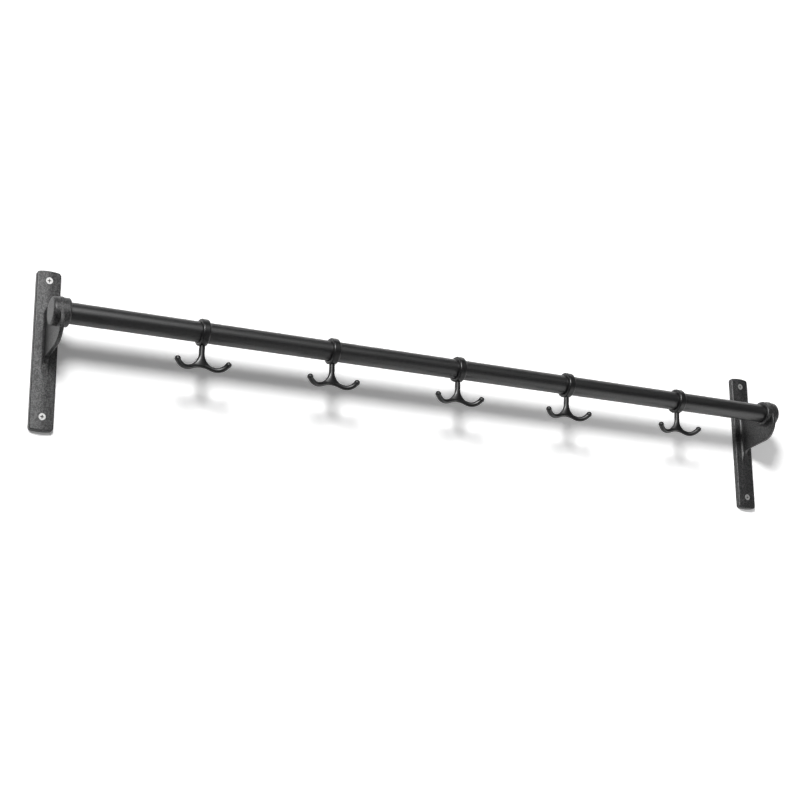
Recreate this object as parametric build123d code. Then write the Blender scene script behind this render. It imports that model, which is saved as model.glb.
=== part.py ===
from build123d import *
import math
import os

# Wall-mounted hook rail: a round tube held between two cast end brackets, with five double hooks
# threaded on to the tube and four countersunk screws through the brackets' wall plates.
# Millimetres. +X to the right along the rail, +Y into the wall, +Z up.
# The origin is on the wall's surface, in the middle of the pattern of the four screws.

# The rail as a whole
bracket_spacing = 1030.0
tube_standoff = 59.0
tube_height = 29.0
hook_places = [-341.5, -171.2, 7.3, 173.9, 356.3]

# Tube
tube_diameter = 25.0
tube_wall = 1.5
tube_seat_clearance = 0.12
tube_end_clearance = 0.3

# Wall plate of a bracket
plate_width = 29.0
plate_thickness = 8.0
plate_edge_drop = 1.2
plate_ridge_radius = 40.0
plate_corner_radius = 4.0
plate_end_bow = 1.3
plate_edge_round = 1.8
plate_above_screw = 12.4
plate_below_screw = 16.6

# Web that carries the socket, on the plate's centre line
web_thickness = 5.0
web_edge_round = 1.2
web_crest = 0.8
web_nose_drop = 35.2
web_belly_radius = 27.0
web_underside_slope = 6.2
web_flare_radius = 10.0
web_tail_length = 24.0
web_tail_thickness = 2.6
web_tail_point = 16.0
web_head_radius = 5.0
web_head_point = 16.0
web_end_width = 2.0
web_seat = 0.7
web_root_round = 4.4
web_root_spare = 0.3

# Socket at the outer end of the web
socket_diameter = 33.8
socket_length = 21.0
socket_floor = 6.0
socket_outer_round = 3.2
socket_inner_round = 1.7
socket_mouth_chamfer = 0.7

# Wall screws
screw_spacing = 165.0
screw_neck_diameter = 5.0
screw_thread_diameter = 4.5
screw_length = 42.0
screw_point = 6.0
screw_head_diameter = 8.2
screw_head_angle = 90.0
screw_head_rim = 0.35
screw_hole_clearance = 0.25
screw_head_clearance = 0.15
recess_width = 1.1
recess_span = 4.6
recess_depth = 1.7
recess_taper = 14.0

# Ring of a hook, which hangs on the tube
ring_bore = 26.0
ring_wall = 3.4
ring_width = 10.4
ring_top_clearance = 0.3
ring_outer_round = 2.2

# Stem of a hook, which widens downwards into the arms. Depths are below the tube's axis.
stem_width = 7.3
stem_thickness = 6.0
stem_straight_end = 24.0
stem_flare_depths = [30.0, 35.0, 38.0, 40.5]
stem_flare_widths = [8.5, 13.6, 19.6, 27.0]

# Arms of a hook: points on the centre line of the right arm, as reach, distance forward and depth
arm_middle_point = (0.0, 0.0, 40.2)
arm_slope_point = (10.0, 0.4, 42.1)
arm_low_point = (20.8, 1.9, 44.1)
arm_tip_point = (31.8, 6.8, 37.0)
arm_tip_rise = 64.0
arm_tip_lean = 30.0
arm_thin_diameter = 5.5
arm_tip_diameter = 7.2
arm_ball_diameter = 7.5
arm_swell_power = 2
arm_sections = 7

# Angle at which a hook hangs, its arms' weight drawing the stem back towards the wall
hook_hang_angle = 4.0

tube_radius = tube_diameter / 2
socket_radius = socket_diameter / 2
plate_top = screw_spacing / 2 + plate_above_screw
plate_bottom = -screw_spacing / 2 - plate_below_screw
bracket_place = bracket_spacing / 2
web_front = -tube_standoff - socket_radius
web_back = -plate_thickness + web_seat
web_top = tube_height + socket_radius + web_crest
web_nose = tube_height - web_nose_drop
web_heel = web_nose - (web_back - web_front) * math.tan(math.radians(web_underside_slope))
web_foot = web_heel - web_tail_length
web_head = web_top + web_head_radius + web_root_spare
tube_end = bracket_place + socket_length / 2 - socket_floor - tube_end_clearance
ring_drop = ring_bore / 2 - tube_radius - ring_top_clearance


def plate_outline():
    """Tall rounded rectangle whose short ends bow outwards, in the wall's plane."""
    half = plate_width / 2
    side_top = plate_top - plate_end_bow
    side_bottom = plate_bottom + plate_end_bow
    edges = [
        Line((-half, side_bottom), (-half, side_top)),
        ThreePointArc((-half, side_top), (0, plate_top), (half, side_top)),
        Line((half, side_top), (half, side_bottom)),
        ThreePointArc((half, side_bottom), (0, plate_bottom), (-half, side_bottom)),
    ]
    outline = make_face(Curve() + edges)
    return fillet(outline.vertices(), plate_corner_radius)


def plate_body():
    """Wall plate with a soft ridge down the middle of its front and rounded front edges."""
    half = plate_width / 2
    edge_thickness = plate_thickness - plate_edge_drop

    def on_rim(edge):
        """True for the front edges at the sides and ends, and not for the long lines beside the ridge."""
        at_front = edge.center().Y < -edge_thickness / 2
        at_side = abs(edge.center().X) > half - plate_corner_radius
        return at_front and (at_side or edge.length < plate_width)

    roof = Polygon((-half, 0), (-half, -edge_thickness), (0, -plate_thickness), (half, -edge_thickness), (half, 0),
                   align=None)
    roof = fillet(roof.vertices().sort_by(Axis.Y)[0], plate_ridge_radius)
    block = Pos(0, 0, plate_bottom) * extrude(roof, plate_top - plate_bottom)
    plate = block & extrude(Plane.XZ * plate_outline(), plate_thickness)
    return fillet(plate.edges().filter_by(on_rim), plate_edge_round)


def rounded_corner(outline, corner, radius):
    """Rounds the one corner of a flat outline that lies at the given point."""
    nearest = outline.vertices().sort_by(lambda vertex: math.dist((vertex.X, vertex.Y), corner))[0]
    return fillet(nearest, radius)


def web_outline():
    """Side view of the web, with x across the wall's plane (-x away from the wall) and y up.

    Its underside turns down into a thin tail that runs out on the plate.
    """
    deep = -plate_thickness / 2
    tail = web_back - web_tail_thickness
    outline = Polygon((web_front, web_top), (web_front, web_nose), (tail, web_heel), (web_back, web_foot),
                      (deep, web_foot), (deep, web_head), (web_back, web_head), (web_back, web_top), align=None)
    outline = rounded_corner(outline, (web_front, web_top), socket_radius)
    outline = rounded_corner(outline, (web_front, web_nose), web_belly_radius)
    outline = rounded_corner(outline, (tail, web_heel), web_flare_radius)
    return rounded_corner(outline, (web_back, web_top), web_head_radius)


def web_section():
    """Section of the web seen from above: a thin strip that widens in two coves where it joins the plate.

    The spare beside each cove lies inside the plate.
    """
    half = web_thickness / 2
    root = half + web_root_round + web_root_spare
    front = web_front - web_root_round
    deep = -plate_thickness / 2
    section = Polygon((-half, front), (half, front), (half, web_back), (root, web_back), (root, deep), (-root, deep),
                      (-root, web_back), (-half, web_back), align=None)
    section = rounded_corner(section, (half, web_back), web_root_round)
    return rounded_corner(section, (-half, web_back), web_root_round)


def web_tongue():
    """Front view of the web: a strip as wide as its coves that narrows at both ends, where it meets the plate."""
    half = web_thickness / 2 + web_root_round + web_root_spare
    tip = web_end_width / 2
    low = web_foot + web_tail_point
    high = web_head - web_head_point
    return Polygon((-half, low), (-tip, web_foot), (tip, web_foot), (half, low), (half, high), (tip, web_head),
                   (-tip, web_head), (-half, high), align=None)


def web_body():
    """Upright web: its side outline and front outline cut through its section, with rounded edges in front."""
    column = Pos(0, 0, plate_bottom) * extrude(web_section(), plate_top - plate_bottom)
    column = column & extrude(Plane.XZ * web_tongue(), -web_front + web_root_round)
    web = column & extrude(Plane.YZ * web_outline(), plate_width, both=True)
    sides = web.faces().filter_by(Axis.X).filter_by(lambda face: face.center().Y < -plate_thickness)
    return fillet(sides.edges().filter_by(on_web_rim), web_edge_round)


def on_web_rim(edge):
    """True for the edges round the flat sides of the web, apart from the straight line along the coves."""
    return edge.center().Y < -plate_thickness - web_root_round


def socket_barrel():
    """Short barrel on the tube's axis, rounded at both ends. Its open end faces -X."""
    barrel = Cylinder(socket_radius, socket_length, rotation=(0, 90, 0))
    ends = barrel.edges().filter_by(GeomType.CIRCLE).sort_by(Axis.X)
    barrel = fillet(ends[-1], socket_outer_round)
    inner = barrel.edges().filter_by(GeomType.CIRCLE).sort_by(Axis.X)[0]
    barrel = fillet(inner, socket_inner_round)
    return Pos(0, -tube_standoff, tube_height) * barrel


def socket_bore():
    """Blind seat for the tube, with a small chamfer at its mouth."""
    radius = tube_radius + tube_seat_clearance
    depth = socket_length - socket_floor
    mouth = -socket_length / 2
    bore = Pos(mouth + depth / 2, 0, 0) * Cylinder(radius, depth, rotation=(0, 90, 0))
    chamfer_reach = socket_mouth_chamfer
    lead_in = Pos(mouth + chamfer_reach / 2, 0, 0) * Cone(radius + chamfer_reach, radius, chamfer_reach,
                                                         rotation=(0, 90, 0))
    return Pos(0, -tube_standoff, tube_height) * (bore + lead_in)


def screw_hole(z):
    """Clearance hole and countersink for one wall screw, open to the front of the plate."""
    radius = screw_neck_diameter / 2 + screw_hole_clearance
    sink_radius = screw_head_diameter / 2 + screw_head_clearance
    sink_depth = (sink_radius - radius) / math.tan(math.radians(screw_head_angle / 2))
    hole = Pos(0, -plate_thickness / 2, z) * Cylinder(radius, plate_thickness * 2, rotation=(90, 0, 0))
    sink_front = -plate_thickness + screw_head_rim
    sink = Pos(0, sink_front + sink_depth / 2, z) * Cone(radius, sink_radius, sink_depth, rotation=(90, 0, 0))
    mouth = Pos(0, sink_front - plate_thickness / 2, z) * Cylinder(sink_radius, plate_thickness, rotation=(90, 0, 0))
    return hole + sink + mouth


def bracket():
    """One casting: plate, web and socket, with the socket's open end towards -X."""
    plate = plate_body()
    casting = plate + web_body()
    casting = casting + socket_barrel()
    casting = casting - socket_bore()
    for z in (-screw_spacing / 2, screw_spacing / 2):
        casting = casting - screw_hole(z)
    return casting


def rail_tube():
    """Round tube whose ends sit in the two sockets."""
    length = tube_end * 2
    tube = Cylinder(tube_radius, length, rotation=(0, 90, 0))
    tube = tube - Cylinder(tube_radius - tube_wall, length, rotation=(0, 90, 0))
    return Pos(0, -tube_standoff, tube_height) * tube


def hook_ring():
    """Ring with rounded rims, centred a little below the tube's axis because it hangs on the tube."""
    inner = ring_bore / 2
    outer = inner + ring_wall
    half = ring_width / 2
    section = Polygon((-half, inner), (half, inner), (half, outer), (-half, outer), align=None)
    rims = section.vertices().sort_by(Axis.Y)
    section = fillet(rims[2:], ring_outer_round)
    return Pos(0, 0, -ring_drop) * revolve(section, Axis.X)


def hook_stem():
    """Oval stem that widens into the arms, as a loft through level sections."""
    top = ring_drop + ring_bore / 2 + ring_wall / 2
    thickness = stem_thickness / 2
    sections = [Pos(0, 0, -top) * Ellipse(stem_width / 2, thickness)]
    straight_end = Pos(0, 0, -stem_straight_end) * Ellipse(stem_width / 2, thickness)
    neck = extrude(sections[0], -(stem_straight_end - top))
    flare = [straight_end]
    for depth, width in zip(stem_flare_depths, stem_flare_widths):
        flare.append(Pos(0, 0, -depth) * Ellipse(width / 2, thickness))
    return neck + loft(flare)


def hook_arm():
    """Right arm from the middle of the bow to its tip, lofted through round sections that swell towards the tip."""
    rise = math.radians(arm_tip_rise)
    lean = math.radians(arm_tip_lean)
    points = []
    for reach, forward, depth in (arm_middle_point, arm_slope_point, arm_low_point, arm_tip_point):
        points.append(Vector(reach, -forward, -depth))
    tip_way = (math.cos(rise), -math.sin(rise) * math.sin(lean), math.sin(rise) * math.cos(lean))
    path = Spline(points, tangents=[(1, 0, 0), tip_way])
    sections = []
    for step in range(arm_sections):
        share = step / (arm_sections - 1)
        along = path % share
        across = Vector(0, 1, 0) - along * along.Y
        diameter = arm_thin_diameter + (arm_tip_diameter - arm_thin_diameter) * share ** arm_swell_power
        sections.append(Plane(origin=path @ share, x_dir=across, z_dir=along) * Circle(diameter / 2))
    return loft(sections) + Pos(points[-1]) * Sphere(arm_ball_diameter / 2)


def hook():
    """One double hook: ring, stem and two arms in a single casting, turned to the angle at which it hangs."""
    arm = hook_arm()
    casting = hook_ring() + hook_stem() + (arm + mirror(arm, about=Plane.YZ))
    return Rot(hook_hang_angle, 0, 0) * casting


def wall_screw():
    """Countersunk screw with a cross recess, its head at y = 0 and its point towards +Y."""
    neck = screw_neck_diameter / 2
    thread = screw_thread_diameter / 2
    head = screw_head_diameter / 2
    head_depth = screw_head_rim + (head - neck) / math.tan(math.radians(screw_head_angle / 2))
    shank_end = screw_length - screw_point
    outline = Polyline((0, 0), (head, 0), (head, screw_head_rim), (neck, head_depth), (neck, plate_thickness),
                       (thread, plate_thickness), (thread, shank_end), (0, screw_length), (0, 0))
    body = revolve(make_face(outline), Axis.Y)
    slot = Rectangle(recess_width, recess_span) + Rectangle(recess_span, recess_width)
    recess = extrude(Plane.XZ * slot, -recess_depth, taper=recess_taper)
    return body - recess


def wall_screws():
    """All four screws, each seated in its countersink."""
    screw = wall_screw()
    screws = []
    for x in (-bracket_place, bracket_place):
        for z in (-screw_spacing / 2, screw_spacing / 2):
            screws.append(Pos(x, -plate_thickness, z) * screw)
    return Compound(screws)


def write(node, shape):
    export_step(shape, os.path.join("parts", node + ".step"))
    print(node, "volume", round(shape.volume), "mm3, valid", shape.is_valid)


os.makedirs("parts", exist_ok=True)
right_bracket = bracket()
write("bracket_right", Pos(bracket_place, 0, 0) * right_bracket)
write("bracket_left", Pos(-bracket_place, 0, 0) * mirror(right_bracket, about=Plane.YZ))
write("rail_tube", rail_tube())
one_hook = hook()
for number, place in enumerate(hook_places, start=1):
    write("hook_%d" % number, Pos(place, -tube_standoff, tube_height) * one_hook)
write("wall_screws", wall_screws())
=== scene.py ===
import math

import bpy
from mathutils import Matrix, Vector

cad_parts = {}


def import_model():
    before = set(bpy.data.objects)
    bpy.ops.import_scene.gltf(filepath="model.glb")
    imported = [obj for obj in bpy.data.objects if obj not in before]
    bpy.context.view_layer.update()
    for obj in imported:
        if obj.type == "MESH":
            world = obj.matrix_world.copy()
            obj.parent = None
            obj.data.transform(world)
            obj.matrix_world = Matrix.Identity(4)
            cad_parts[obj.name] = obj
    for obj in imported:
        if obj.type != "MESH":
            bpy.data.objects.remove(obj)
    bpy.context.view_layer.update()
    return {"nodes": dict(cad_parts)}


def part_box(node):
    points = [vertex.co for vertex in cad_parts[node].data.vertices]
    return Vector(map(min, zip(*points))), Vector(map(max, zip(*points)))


# Looks of the wall-mounted hook rail: textured black castings, a satin black tube, smooth black hooks
# and bright screws, on a white wall. Metres, +X along the rail, +Y into the wall, +Z up.

# Camera: in front of the rail's left end and below it. Angles in degrees, lens and sensor in millimetres,
# shifts as shares of the picture's width
camera_place = (-0.95931, -1.71861, -0.53273)
camera_azimuth = 27.174
camera_elevation = 14.909
camera_roll = -0.165
camera_lens = 69.95
sensor_width = 36.0
lens_shift_right = 0.0266
lens_shift_up = 0.0102
camera_reach = 50.0

# Light: one soft round lamp above the camera, which throws the rail's shadow down and to the right.
# Its light doesn't fall off with distance, so that the two ends of the wall are lit more alike.
key_place = (-0.96, -1.65, 0.80)
key_aim = (0.0, 0.0, 0.0)
key_size = 0.58
key_power = 10.0

# Surroundings: their level as a fill light, and between the windows in reflections
fill_level = 0.13
mirrored_level = 0.04

# Windows in the surroundings that show only in reflections: one high in front of the wall, one low on the
# right. Each has its direction, the cosines of its outer and inner edge and its level.
high_window = ((-0.14, -0.85, 0.50), 0.83, 0.965, 3.2)
low_window = ((0.78, -0.29, -0.555), 0.87, 0.985, 2.2)

# Wall: the camera sees it a little whiter than it lights the object. It glows with painted light, more
# where less of the lamp's light reaches it, by a rate per square metre away from the spot that the lamp
# lights most; the glow also lightens its shadows.
wall_size = (12.0, 10.0)
wall_gap = 0.0002
wall_white = 0.90
wall_seen_white = 1.12
wall_roughness = 0.9
wall_gloss = 0.1
wall_glow_centre = (-0.60, 0.0, 0.60)
wall_glow_least = 0.07
wall_glow_rate = 0.165

# Materials. A texture is its features per metre, its detail and its roughness. A band is the two values of
# a texture between which the colour turns from the first to the second. A bump is its height in metres and
# its strength. A roughness is the shader's value at the low and high end of a texture.

# Castings: textured black powder coat on iron. The glints are the shader's specular levels, as greys.
casting_grain = (1300.0, 3.0, 0.6)
casting_lumps = (620.0, 3.0, 0.6)
casting_band = (0.42, 0.62)
casting_colours = ((0.002, 0.002, 0.002), (0.017, 0.017, 0.018))
casting_glints = ((0.38, 0.38, 0.38), (0.88, 0.88, 0.88))
casting_roughness = (0.58, 0.38)
casting_coat = 0.4
casting_coat_roughness = 0.3
casting_lump_bump = (0.0010, 0.8)
casting_grain_bump = (0.00025, 0.6)

# Tube: satin black, with faint streaks along it
tube_grain = (420.0, 4.0, 0.7)
tube_streaks = (260.0, 3.0, 0.6)
tube_streak_stretch = (0.05, 1.0, 1.0)
tube_band = (0.40, 0.68)
tube_colours = ((0.003, 0.003, 0.003), (0.013, 0.013, 0.014))
tube_roughness = (0.34, 0.44)
tube_gloss = 0.8
tube_streak_bump = (0.0004, 0.3)
tube_grain_bump = (0.00025, 0.5)

# Hooks: smooth black with a soft gloss
hook_peel = (420.0, 3.0, 0.5)
hook_grain = (1400.0, 2.0, 0.5)
hook_band = (0.35, 0.75)
hook_colours = ((0.005, 0.005, 0.005), (0.018, 0.018, 0.019))
hook_roughness = (0.26, 0.40)
hook_gloss = 0.5
hook_peel_bump = (0.00025, 0.35)

# Screws: zinc-plated steel, lightly scuffed
screw_scuffs = (1800.0, 3.0, 0.6)
screw_band = (0.30, 0.75)
screw_colours = ((0.42, 0.42, 0.42), (0.66, 0.66, 0.65))
screw_roughness = (0.30, 0.50)
screw_metal = 0.55
screw_scuff_bump = (0.00008, 0.4)

# Painted shade in the screws' cross recesses: the depths behind the heads' faces where it starts and is
# full, the depth where it ends, and its colour
recess_shade_depths = (0.0001, 0.0007)
recess_shade_end = 0.0030
recess_shade_colour = (0.03, 0.03, 0.03)

# The range of a texture, and of a ray's switch between off and on
whole_range = (0.0, 1.0)


def feed(tree, socket, value):
    """Gives a socket a number or what another node puts out."""
    if isinstance(value, float):
        socket.default_value = value
    else:
        tree.links.new(value, socket)


def noise(tree, coordinates, texture):
    """Noise texture in the places that the coordinates give."""
    scale, detail, roughness = texture
    node = tree.nodes.new("ShaderNodeTexNoise")
    node.inputs["Scale"].default_value = scale
    node.inputs["Detail"].default_value = detail
    node.inputs["Roughness"].default_value = roughness
    tree.links.new(coordinates, node.inputs["Vector"])
    return node.outputs["Fac"]


def ramp(tree, value, band, colours):
    """Turns from one colour to another between two values of a texture."""
    node = tree.nodes.new("ShaderNodeValToRGB")
    for stop, position, colour in zip(node.color_ramp.elements, band, colours):
        stop.position = position
        stop.color = (*colour, 1.0)
    tree.links.new(value, node.inputs["Fac"])
    return node.outputs["Color"]


def map_range(tree, value, taken, given, clamp=True, interpolation="LINEAR"):
    """Maps the range between two values on to the range between two others."""
    node = tree.nodes.new("ShaderNodeMapRange")
    node.clamp = clamp
    node.interpolation_type = interpolation
    node.inputs["From Min"].default_value = taken[0]
    node.inputs["From Max"].default_value = taken[1]
    feed(tree, node.inputs["To Min"], given[0])
    feed(tree, node.inputs["To Max"], given[1])
    tree.links.new(value, node.inputs["Value"])
    return node.outputs["Result"]


def spread(tree, value, low, high):
    """Maps the whole range on to a range of its own, and goes on beyond its ends."""
    return map_range(tree, value, whole_range, (low, high), clamp=False)


def combine(tree, operation, first, second):
    """Math node on two values, each a number or what another node puts out."""
    node = tree.nodes.new("ShaderNodeMath")
    node.operation = operation
    feed(tree, node.inputs[0], first)
    feed(tree, node.inputs[1], second)
    return node.outputs["Value"]


def measure(tree, operation, vector, other):
    """Number that comes from a vector and a fixed one, such as their distance."""
    node = tree.nodes.new("ShaderNodeVectorMath")
    node.operation = operation
    node.inputs[1].default_value = other
    tree.links.new(vector, node.inputs[0])
    return node.outputs["Value"]


def bump(tree, height, depth_and_strength, under=None):
    """Bump from a texture, on top of another bump when one is given."""
    depth, strength = depth_and_strength
    node = tree.nodes.new("ShaderNodeBump")
    node.inputs["Distance"].default_value = depth
    node.inputs["Strength"].default_value = strength
    tree.links.new(height, node.inputs["Height"])
    if under is not None:
        tree.links.new(under, node.inputs["Normal"])
    return node.outputs["Normal"]


def object_coordinates(tree, stretch=(1.0, 1.0, 1.0)):
    """Object coordinates, drawn out along an axis where its factor is below one."""
    place = tree.nodes.new("ShaderNodeTexCoord")
    mapping = tree.nodes.new("ShaderNodeMapping")
    mapping.inputs["Scale"].default_value = stretch
    tree.links.new(place.outputs["Object"], mapping.inputs["Vector"])
    return mapping.outputs["Vector"]


def by_ray(tree, lighting, mirrored, seen):
    """Value that differs between the light on the object, its reflections and what the camera sees."""
    path = tree.nodes.new("ShaderNodeLightPath")
    unseen = map_range(tree, path.outputs["Is Glossy Ray"], whole_range, (lighting, mirrored))
    return map_range(tree, path.outputs["Is Camera Ray"], whole_range, (unseen, seen))


def new_material(name):
    """A new material with its node tree and its Principled shader."""
    material = bpy.data.materials.new(name)
    material.use_nodes = True
    tree = material.node_tree
    principled = next(node for node in tree.nodes if node.type == "BSDF_PRINCIPLED")
    return material, tree, principled


def casting_material():
    """Black castings with the lumps and the finer grain of their coat."""
    material, tree, principled = new_material("casting_black")
    place = object_coordinates(tree)
    grain = noise(tree, place, casting_grain)
    lumps = noise(tree, place, casting_lumps)
    tree.links.new(ramp(tree, lumps, casting_band, casting_colours), principled.inputs["Base Color"])
    tree.links.new(ramp(tree, lumps, casting_band, casting_glints), principled.inputs["Specular IOR Level"])
    tree.links.new(spread(tree, lumps, *casting_roughness), principled.inputs["Roughness"])
    principled.inputs["Coat Weight"].default_value = casting_coat
    principled.inputs["Coat Roughness"].default_value = casting_coat_roughness
    wide = bump(tree, lumps, casting_lump_bump)
    tree.links.new(bump(tree, grain, casting_grain_bump, wide), principled.inputs["Normal"])
    return material


def tube_material():
    """Black tube with its grain and its streaks."""
    material, tree, principled = new_material("tube_black")
    grain = noise(tree, object_coordinates(tree), tube_grain)
    streaks = noise(tree, object_coordinates(tree, tube_streak_stretch), tube_streaks)
    tree.links.new(ramp(tree, grain, tube_band, tube_colours), principled.inputs["Base Color"])
    tree.links.new(spread(tree, streaks, *tube_roughness), principled.inputs["Roughness"])
    principled.inputs["Specular IOR Level"].default_value = tube_gloss
    wide = bump(tree, streaks, tube_streak_bump)
    tree.links.new(bump(tree, grain, tube_grain_bump, wide), principled.inputs["Normal"])
    return material


def hook_material():
    """Black hooks with a faint orange-peel."""
    material, tree, principled = new_material("hook_black")
    place = object_coordinates(tree)
    peel = noise(tree, place, hook_peel)
    grain = noise(tree, place, hook_grain)
    tree.links.new(ramp(tree, grain, hook_band, hook_colours), principled.inputs["Base Color"])
    tree.links.new(spread(tree, peel, *hook_roughness), principled.inputs["Roughness"])
    principled.inputs["Specular IOR Level"].default_value = hook_gloss
    tree.links.new(bump(tree, peel, hook_peel_bump), principled.inputs["Normal"])
    return material


def recess_painted_shade(tree, face_y):
    """Share of painted shade: one down in the cross recesses, nought on the heads' faces and on the shanks.
    """
    surface = tree.nodes.new("ShaderNodeNewGeometry")
    split = tree.nodes.new("ShaderNodeSeparateXYZ")
    tree.links.new(surface.outputs["Position"], split.inputs["Vector"])
    start, full = recess_shade_depths
    depth = map_range(tree, split.outputs["Y"], (face_y + start, face_y + full), whole_range)
    in_head = combine(tree, "LESS_THAN", split.outputs["Y"], face_y + recess_shade_end)
    return combine(tree, "MULTIPLY", depth, in_head)


def screw_material(face_y):
    """Bright screws with painted shade in their cross recesses."""
    material, tree, principled = new_material("screw_steel")
    scuffs = noise(tree, object_coordinates(tree), screw_scuffs)
    mix = tree.nodes.new("ShaderNodeMix")
    mix.data_type = "RGBA"
    mix.inputs["B"].default_value = (*recess_shade_colour, 1.0)
    # Painted shade: the cross recesses turn dark by their depth behind the heads' faces
    tree.links.new(recess_painted_shade(tree, face_y), mix.inputs["Factor"])
    tree.links.new(ramp(tree, scuffs, screw_band, screw_colours), mix.inputs["A"])
    tree.links.new(mix.outputs["Result"], principled.inputs["Base Color"])
    tree.links.new(spread(tree, scuffs, *screw_roughness), principled.inputs["Roughness"])
    principled.inputs["Metallic"].default_value = screw_metal
    tree.links.new(bump(tree, scuffs, screw_scuff_bump), principled.inputs["Normal"])
    return material


def wall_material():
    """White wall that takes shadows, glows with painted light and shows only from its front."""
    material, tree, principled = new_material("wall_white")
    colour = by_ray(tree, wall_white, wall_white, wall_seen_white)
    tree.links.new(colour, principled.inputs["Base Color"])
    principled.inputs["Roughness"].default_value = wall_roughness
    principled.inputs["Specular IOR Level"].default_value = wall_gloss
    surface = tree.nodes.new("ShaderNodeNewGeometry")
    # Painted light: a glow that grows with the squared distance from a centre spot, seen by the camera and
    # in reflections
    away = measure(tree, "DISTANCE", surface.outputs["Position"], wall_glow_centre)
    square = combine(tree, "MULTIPLY", away, away)
    painted_glow = spread(tree, square, wall_glow_least, wall_glow_least + wall_glow_rate)
    tree.links.new(painted_glow, principled.inputs["Emission Color"])
    tree.links.new(by_ray(tree, 0.0, 1.0, 1.0), principled.inputs["Emission Strength"])
    clear = tree.nodes.new("ShaderNodeBsdfTransparent")
    sides = tree.nodes.new("ShaderNodeMixShader")
    tree.links.new(surface.outputs["Backfacing"], sides.inputs["Fac"])
    tree.links.new(principled.outputs["BSDF"], sides.inputs[1])
    tree.links.new(clear.outputs["BSDF"], sides.inputs[2])
    output = next(node for node in tree.nodes if node.type == "OUTPUT_MATERIAL")
    tree.links.new(sides.outputs["Shader"], output.inputs["Surface"])
    return material


def slot_of(name):
    """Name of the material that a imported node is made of."""
    if name.startswith("bracket"):
        return "casting_black"
    if name.startswith("hook"):
        return "hook_black"
    if name == "rail_tube":
        return "tube_black"
    return "screw_steel"


def finish_nodes(nodes):
    """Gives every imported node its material."""
    screws_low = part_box("wall_screws")[0]
    looks = {
        "casting_black": casting_material(),
        "tube_black": tube_material(),
        "hook_black": hook_material(),
        "screw_steel": screw_material(screws_low[1]),
    }
    for name, thing in nodes.items():
        thing.data.materials.clear()
        thing.data.materials.append(looks[slot_of(name)])


def wall():
    """The wall behind the rail. Its front faces -Y."""
    bpy.ops.mesh.primitive_plane_add(size=1.0, rotation=(math.radians(90), 0, 0))
    board = bpy.context.object
    board.name = "wall"
    board.scale = (*wall_size, 1.0)
    board.location = (0.0, wall_gap, 0.0)
    board.data.materials.append(wall_material())


def mirrored_window(tree, direction, window):
    """Level of a soft round window in the surroundings, by direction."""
    centre, outer, inner, level = window
    facing = measure(tree, "DOT_PRODUCT", direction, centre)
    return map_range(tree, facing, (outer, inner), (0.0, level), interpolation="SMOOTHSTEP")


def light_world():
    """Surroundings: a weak even fill, white to the camera past the wall, with windows in reflections."""
    world = bpy.data.worlds.new("surroundings")
    bpy.context.scene.world = world
    world.use_nodes = True
    tree = world.node_tree
    direction = tree.nodes.new("ShaderNodeTexCoord").outputs["Generated"]
    high = mirrored_window(tree, direction, high_window)
    low = mirrored_window(tree, direction, low_window)
    mirrored = spread(tree, combine(tree, "ADD", high, low), mirrored_level, 1.0)
    background = tree.nodes["Background"]
    background.inputs["Color"].default_value = (1.0, 1.0, 1.0, 1.0)
    tree.links.new(by_ray(tree, fill_level, mirrored, 1.0), background.inputs["Strength"])


def key_lamp():
    """Soft round lamp that is equally bright at every distance."""
    data = bpy.data.lights.new("key", "AREA")
    data.shape = "DISK"
    data.size = key_size
    data.energy = key_power
    data.use_nodes = True
    tree = data.node_tree
    falloff = tree.nodes.new("ShaderNodeLightFalloff")
    falloff.inputs["Strength"].default_value = 1.0
    tree.links.new(falloff.outputs["Constant"], tree.nodes["Emission"].inputs["Strength"])
    lamp = bpy.data.objects.new("key", data)
    lamp.location = key_place
    way = Vector(key_aim) - Vector(key_place)
    lamp.rotation_euler = way.to_track_quat("-Z", "Y").to_euler()
    bpy.context.scene.collection.objects.link(lamp)


def camera():
    """Camera turned by its azimuth, elevation and roll."""
    azimuth = math.radians(camera_azimuth)
    elevation = math.radians(camera_elevation)
    ahead = math.cos(elevation)
    look = Vector((math.sin(azimuth) * ahead, math.cos(azimuth) * ahead, math.sin(elevation)))
    level = Vector((math.cos(azimuth), -math.sin(azimuth), 0.0))
    right = Matrix.Rotation(math.radians(-camera_roll), 3, look) @ level
    up = right.cross(look)
    data = bpy.data.cameras.new("camera")
    data.sensor_width = sensor_width
    data.lens = camera_lens
    data.shift_x = lens_shift_right
    data.shift_y = lens_shift_up
    data.clip_end = camera_reach
    thing = bpy.data.objects.new("camera", data)
    facing = Matrix((right, up, -look)).transposed()
    thing.matrix_world = Matrix.Translation(camera_place) @ facing.to_4x4()
    bpy.context.scene.collection.objects.link(thing)
    bpy.context.scene.camera = thing


def main():
    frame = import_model()
    finish_nodes(frame["nodes"])
    wall()
    light_world()
    key_lamp()
    camera()
    bpy.context.scene.view_settings.view_transform = "Standard"


main()
